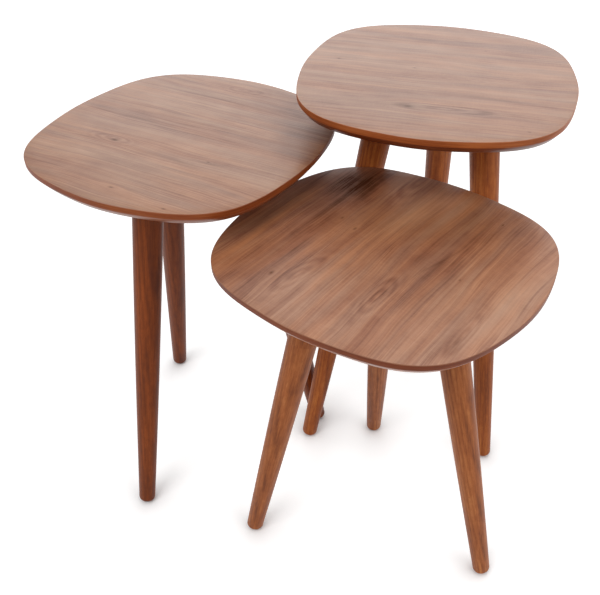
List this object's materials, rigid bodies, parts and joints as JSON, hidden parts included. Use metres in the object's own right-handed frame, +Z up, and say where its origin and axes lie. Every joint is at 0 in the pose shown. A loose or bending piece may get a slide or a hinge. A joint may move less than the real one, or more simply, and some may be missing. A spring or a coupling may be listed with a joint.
{
  "type": "nesting tables",
  "caption": "Rounded-square walnut-veneer side tables of stepped heights on turned, splayed legs; the lower tops slide out from under the tallest.",
  "frame": {"origin": "on the floor, under the centre of the box round all the tables as they are displayed", "axes": "+X towards the tall table's side, along the longest extent; +Y away from the low table, towards the back; +Z up"},
  "size_m": [0.6688, 0.6126, 0.581],
  "materials": {
    "walnut_veneer": "satin lacquered walnut veneer",
    "stained_edge": "fibreboard core, edge and bevel stained red-brown and lacquered",
    "stained_beech": "turned beech, stained red-brown, satin lacquer",
    "zinc_steel": "zinc-plated steel"
  },
  "bodies": {
    "tall_table": {"tall_top_board": "stained_edge", "tall_top_veneer": "walnut_veneer", "tall_left_leg": "stained_beech", "tall_left_leg_plate": "zinc_steel", "tall_left_hanger_bolt": "zinc_steel", "tall_left_plate_screw_1": "zinc_steel", "tall_left_plate_screw_2": "zinc_steel", "tall_left_plate_screw_3": "zinc_steel", "tall_right_leg": "stained_beech", "tall_right_leg_plate": "zinc_steel", "tall_right_hanger_bolt": "zinc_steel", "tall_right_plate_screw_1": "zinc_steel", "tall_right_plate_screw_2": "zinc_steel", "tall_right_plate_screw_3": "zinc_steel", "tall_back_leg": "stained_beech", "tall_back_leg_plate": "zinc_steel", "tall_back_hanger_bolt": "zinc_steel", "tall_back_plate_screw_1": "zinc_steel", "tall_back_plate_screw_2": "zinc_steel", "tall_back_plate_screw_3": "zinc_steel"},
    "middle_table": {"middle_top_board": "stained_edge", "middle_top_veneer": "walnut_veneer", "middle_front_leg": "stained_beech", "middle_front_leg_plate": "zinc_steel", "middle_front_hanger_bolt": "zinc_steel", "middle_front_plate_screw_1": "zinc_steel", "middle_front_plate_screw_2": "zinc_steel", "middle_front_plate_screw_3": "zinc_steel", "middle_back_leg": "stained_beech", "middle_back_leg_plate": "zinc_steel", "middle_back_hanger_bolt": "zinc_steel", "middle_back_plate_screw_1": "zinc_steel", "middle_back_plate_screw_2": "zinc_steel", "middle_back_plate_screw_3": "zinc_steel", "middle_right_leg": "stained_beech", "middle_right_leg_plate": "zinc_steel", "middle_right_hanger_bolt": "zinc_steel", "middle_right_plate_screw_1": "zinc_steel", "middle_right_plate_screw_2": "zinc_steel", "middle_right_plate_screw_3": "zinc_steel"},
    "low_table": {"low_top_board": "stained_edge", "low_top_veneer": "walnut_veneer", "low_left_leg": "stained_beech", "low_left_leg_plate": "zinc_steel", "low_left_hanger_bolt": "zinc_steel", "low_left_plate_screw_1": "zinc_steel", "low_left_plate_screw_2": "zinc_steel", "low_left_plate_screw_3": "zinc_steel", "low_front_leg": "stained_beech", "low_front_leg_plate": "zinc_steel", "low_front_hanger_bolt": "zinc_steel", "low_front_plate_screw_1": "zinc_steel", "low_front_plate_screw_2": "zinc_steel", "low_front_plate_screw_3": "zinc_steel", "low_back_leg": "stained_beech", "low_back_leg_plate": "zinc_steel", "low_back_hanger_bolt": "zinc_steel", "low_back_plate_screw_1": "zinc_steel", "low_back_plate_screw_2": "zinc_steel", "low_back_plate_screw_3": "zinc_steel"}
  },
  "joints": [
    {"name": "middle_table_slide", "type": "slide", "parent": "tall_table", "child": "middle_table", "axis": [-1, 0, 0], "range_m": [-0.018, 0.25]},
    {"name": "low_table_slide", "type": "slide", "parent": "tall_table", "child": "low_table", "axis": [0, -1, 0], "range_m": [0, 0.25]}
  ]
}
